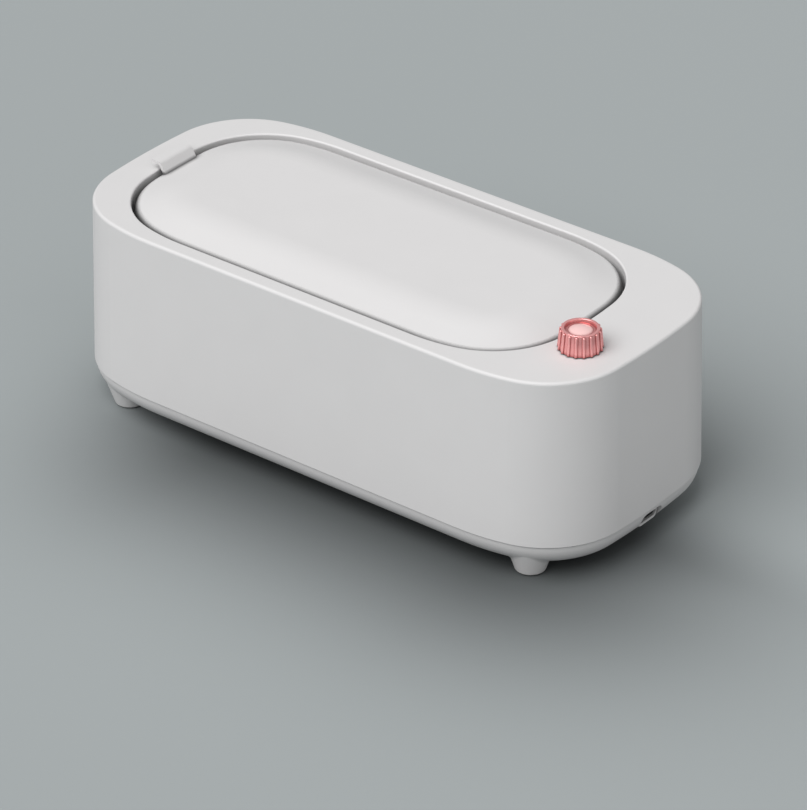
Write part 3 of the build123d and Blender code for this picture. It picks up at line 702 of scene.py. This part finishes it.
class CLEANER_OT_electronics(bpy.types.Operator):
    """Finishes the boards, what is on them, and the transducer under the tank"""

    bl_idname = "cleaner.electronics"
    bl_label = "Electronics"

    def execute(self, context):
        parts = context.scene.lens_cleaner.electronics
        mask = material("solder_mask", circuit_board, parts.mask_colour)
        dress(mask, "driver_board", "control_board", "usb_board")
        ferrite = material("ferrite", speckled, parts.ferrite_colour, roughness=0.7, size=0.5 * MM)
        dress(ferrite, "transformer_core", "choke")
        copper = material("enamelled_copper", wound_copper, parts.wire_colour, parts.wire)
        dress(copper, "transformer_winding")
        sleeve = material("can_sleeve", speckled, parts.sleeve_colour, roughness=0.3, size=2 * MM)
        dress(sleeve, "capacitors")
        epoxy = material("epoxy", speckled, parts.epoxy_colour, roughness=0.6, size=0.2 * MM)
        dress(epoxy, "transistors")
        dress(material("nylon", satin_plastic, parts.nylon_colour), "connectors")
        plating = material("screw_plating", plated_steel, parts.screw_colour, roughness=0.3)
        dress(plating, "case_screws", "board_screws")
        ceramic = material("piezo_ceramic", speckled, parts.ceramic_colour, roughness=0.7, size=0.2 * MM)
        dress(ceramic, "transducer")
        silver = material("fired_silver", plated_steel, parts.silver_colour, roughness=0.4)
        dress(silver, "transducer_electrode")
        return {"FINISHED"}


class CLEANER_OT_inlet(bpy.types.Operator):
    """Finishes the USB-C socket"""

    bl_idname = "cleaner.inlet"
    bl_label = "Inlet"

    def execute(self, context):
        inlet = context.scene.lens_cleaner.inlet
        plating = material("socket_plating", plated_steel, inlet.sleeve_colour, roughness=0.25)
        dress(plating, "usb_socket")
        plastic = material("tongue_plastic", speckled, inlet.tongue_colour, roughness=0.45, size=0.3 * MM)
        dress(plastic, "usb_tongue")
        return {"FINISHED"}


def direction(azimuth, elevation):
    """The unit vector towards a place round the object; azimuth 0 is in front."""
    flat = math.cos(elevation)
    return Vector((math.sin(azimuth) * flat, -math.cos(azimuth) * flat, math.sin(elevation)))


class CLEANER_OT_stage(bpy.types.Operator):
    """Makes the floor, the lamps and the camera"""

    bl_idname = "cleaner.stage"
    bl_label = "Stage"

    def make_floor(self, stage):
        bpy.ops.mesh.primitive_plane_add(size=FLOOR_SIZE, location=(0, 0, 0))
        floor = bpy.context.object
        floor.name = "floor"
        floor.data.materials.append(material("floor", self.floor_finish, stage))

    @staticmethod
    def floor_finish(finish, stage):
        """A matt floor with a soft shadow painted into its colour round a fixed centre under the object, spread
        differently on each side.
        """
        parts = finish.node("ShaderNodeSeparateXYZ", {}, {0: finish.place(stage.shade_centre)})
        along, across = parts.out("X"), parts.out("Y")
        half_length, half_width = stage.shade_length / 2, stage.shade_width / 2
        right = (along - half_length).at_least(0.0) / stage.shade_right
        left = (-half_length - along).at_least(0.0) / stage.shade_left
        back = (across - half_width).at_least(0.0) / stage.shade_back
        front = (-half_width - across).at_least(0.0) / stage.shade_front
        away = right * right + left * left + back * back + front * front
        # Painted shadow: the floor's colour blends towards black near the shade's centre.
        shade = away.math("EXPONENT", 0.0 - away)
        colour = finish.blend(stage.shade_depth * shade, solid(stage.floor_colour), (0, 0, 0, 1))
        finish.surface({"Base Color": colour, "Roughness": 0.9, "Specular IOR Level": 0.1})

    @staticmethod
    def make_world(stage):
        world = bpy.data.worlds.new("studio")
        bpy.context.scene.world = world
        finish = Finish(world)
        paths = finish.node("ShaderNodeLightPath")
        white = {"Color": (1, 1, 1, 1), "Strength": stage.ambient}
        around = finish.node("ShaderNodeBackground", {}, white)
        grey = {"Color": solid(stage.backdrop_colour), "Strength": 1.0}
        behind = finish.node("ShaderNodeBackground", {}, grey)
        seen = paths.out("Is Camera Ray") + paths.out("Is Glossy Ray") + paths.out("Is Transmission Ray")
        mixed = finish.node("ShaderNodeMixShader", {}, {0: seen.at_most(1.0), 1: around, 2: behind})
        finish.node("ShaderNodeOutputWorld", {}, {"Surface": mixed})

    @staticmethod
    def make_lamp(name, share, azimuth, elevation, softness):
        """A soft distant lamp; share is how near to white it lights a white surface that faces it."""
        lamp = bpy.data.lights.new(name, "SUN")
        lamp.energy = share * math.pi
        lamp.angle = softness
        holder = bpy.data.objects.new(name, lamp)
        bpy.context.scene.collection.objects.link(holder)
        towards = direction(azimuth, elevation)
        holder.rotation_euler = towards.to_track_quat("Z", "Y").to_euler()
        holder.location = towards

    @staticmethod
    def make_camera(stage):
        data = bpy.data.cameras.new("camera")
        data.sensor_width = SENSOR_WIDTH
        data.lens = stage.camera_lens
        camera = bpy.data.objects.new("camera", data)
        bpy.context.scene.collection.objects.link(camera)
        back = direction(stage.camera_azimuth, stage.camera_elevation)
        right = Vector((math.cos(stage.camera_azimuth), math.sin(stage.camera_azimuth), 0))
        axes = Matrix((right, back.cross(right), back)).transposed().to_4x4()
        place = Matrix.Translation(stage.camera_place)
        camera.matrix_world = place @ axes @ Matrix.Rotation(stage.camera_roll, 4, "Z")
        bpy.context.scene.camera = camera

    def execute(self, context):
        stage = context.scene.lens_cleaner.stage
        self.make_floor(stage)
        self.make_world(stage)
        self.make_lamp("key_lamp", stage.key, stage.key_azimuth, stage.key_elevation, stage.key_softness)
        self.make_lamp("fill_lamp", stage.fill, stage.fill_azimuth, stage.fill_elevation, stage.fill_softness)
        self.make_camera(stage)
        context.scene.view_settings.view_transform = "Standard"
        return {"FINISHED"}


STEPS = (
    CLEANER_OT_shells, CLEANER_OT_bath, CLEANER_OT_knob, CLEANER_OT_electronics, CLEANER_OT_inlet,
    CLEANER_OT_stage,
)


class CLEANER_PT_panel(bpy.types.Panel):
    """Lists the steps that build the lens cleaner's looks"""

    bl_idname = "CLEANER_PT_panel"
    bl_label = "Lens Cleaner"
    bl_space_type = "VIEW_3D"
    bl_region_type = "UI"
    bl_category = "Lens Cleaner"

    def draw(self, context):
        settings = context.scene.lens_cleaner
        for part in ("shells", "bath", "knob", "electronics", "inlet", "stage"):
            group = getattr(settings, part)
            column = self.layout.column(align=True)
            for name in group.__annotations__:
                column.prop(group, name)
        for step in STEPS:
            self.layout.operator(step.bl_idname)


GROUPS = (
    ShellSettings, BathSettings, KnobSettings, ElectronicsSettings, InletSettings, StageSettings,
    CleanerSettings,
)
CLASSES = GROUPS + STEPS + (CLEANER_PT_panel,)


def register():
    for made in CLASSES:
        bpy.utils.register_class(made)
    bpy.types.Scene.lens_cleaner = PointerProperty(type=CleanerSettings)


def unregister():
    del bpy.types.Scene.lens_cleaner
    for made in reversed(CLASSES):
        bpy.utils.unregister_class(made)


def main():
    register()
    bpy.ops.cleaner.shells()
    bpy.ops.cleaner.bath()
    bpy.ops.cleaner.knob()
    bpy.ops.cleaner.electronics()
    bpy.ops.cleaner.inlet()
    bpy.ops.cleaner.stage()


if __name__ == "__main__":
    main()
